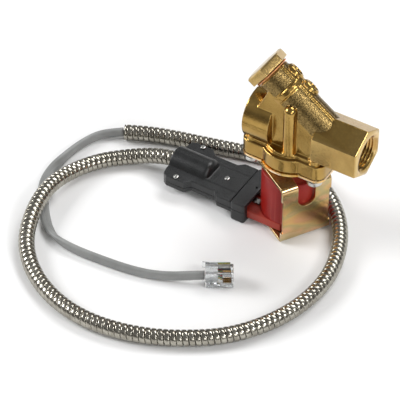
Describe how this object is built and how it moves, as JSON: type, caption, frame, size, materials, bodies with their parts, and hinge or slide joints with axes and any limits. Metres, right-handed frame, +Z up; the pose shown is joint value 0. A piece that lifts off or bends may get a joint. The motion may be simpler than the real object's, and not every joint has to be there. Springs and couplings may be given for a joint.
{
  "type": "solenoid valve",
  "caption": "Brass two-way solenoid valve with an inclined strainer, red coil in a folded yoke, plug-in lead in flexible metal conduit and a modular plug.",
  "frame": {"origin": "on the coil's axis, at the underside of the yoke", "axes": "+X along the pipe ports towards the hexagonal inlet, +Z up along the coil's axis towards the valve body"},
  "size_m": [0.1485, 0.1376, 0.0896],
  "materials": {
    "brass": "forged and tumbled",
    "yellow_zinc": "yellow chromate on zinc",
    "bright_zinc": "bright zinc plate",
    "stainless": "drawn",
    "conduit_steel": "polished interlocked strip",
    "copper": "enamelled wire",
    "red_resin": "moulded",
    "black_plastic": "fine textured",
    "rubber": "moulded",
    "gasket": "fibre",
    "natural_plastic": "moulded",
    "clear_plastic": "clear polycarbonate",
    "grey_pvc": "extruded",
    "gold_contact": "gold flash",
    "core_steel": "ground"
  },
  "bodies": {
    "root": {"coil_bobbin": "red_resin", "coil_shell": "red_resin", "coil_terminal_1": "bright_zinc", "coil_terminal_2": "bright_zinc", "coil_winding": "copper", "conduit": "conduit_steel", "conduit_ferrule": "bright_zinc", "connector_contact_1": "gold_contact", "connector_contact_2": "gold_contact", "connector_lower_shell": "black_plastic", "connector_rivet_1": "bright_zinc", "connector_rivet_2": "bright_zinc", "connector_rivet_3": "bright_zinc", "connector_upper_shell": "black_plastic", "flat_cable": "grey_pvc", "plug_contact_1": "gold_contact", "plug_contact_2": "gold_contact", "plug_contact_3": "gold_contact", "plug_contact_4": "gold_contact", "plug_housing": "clear_plastic", "yoke_frame": "yellow_zinc"},
    "valve": {"valve_body": "brass", "bonnet_plate": "yellow_zinc", "bonnet_screw_1": "bright_zinc", "bonnet_screw_2": "bright_zinc", "bonnet_screw_3": "bright_zinc", "bonnet_screw_4": "bright_zinc", "armature_tube": "stainless", "fixed_core": "core_steel", "shading_ring": "copper"},
    "plunger": {"plunger": "core_steel", "plunger_seal": "rubber", "plunger_spring": "stainless"},
    "diaphragm": {"diaphragm": "rubber", "diaphragm_support": "natural_plastic"},
    "cap_slide": {"cap_gasket": "gasket", "strainer_screen": "stainless"},
    "cap": {"strainer_cap": "brass"},
    "latch": {"plug_latch": "clear_plastic"}
  },
  "joints": [
    {"name": "body_swivel", "type": "hinge", "parent": "root", "child": "valve", "pos_m": [0, 0, 0.0333], "axis": [0, 0, 1], "continuous": true},
    {"name": "plunger_slide", "type": "slide", "parent": "valve", "child": "plunger", "axis": [0, 0, -1], "range_m": [0, 0.0016], "stiffness_N_per_m": 600, "springref_m": -0.003, "deforming": ["plunger_spring"]},
    {"name": "diaphragm_lift", "type": "slide", "parent": "valve", "child": "diaphragm", "axis": [0, 0, -1], "range_m": [0, 0.0012], "deforming": ["diaphragm"]},
    {"name": "cap_travel", "type": "slide", "parent": "valve", "child": "cap_slide", "axis": [-0.8192, 0, 0.5736], "range_m": [0, 0.0075]},
    {"name": "cap_turn", "type": "hinge", "parent": "cap_slide", "child": "cap", "pos_m": [-0.01088, 0, 0.07836], "axis": [-0.8192, 0, 0.5736], "range_deg": [0, 2160]},
    {"name": "latch_press", "type": "hinge", "parent": "root", "child": "latch", "pos_m": [-0.00241, -0.04763, 0.00492], "axis": [0, 0, 1], "range_deg": [0, 9], "stiffness_Nm_per_rad": 0.05}
  ],
  "couplings": [
    {"joint": "diaphragm_lift", "follows": "plunger_slide", "ratio": 0.75},
    {"joint": "cap_travel", "follows": "cap_turn", "m_per_rad": 0.00019894}
  ]
}
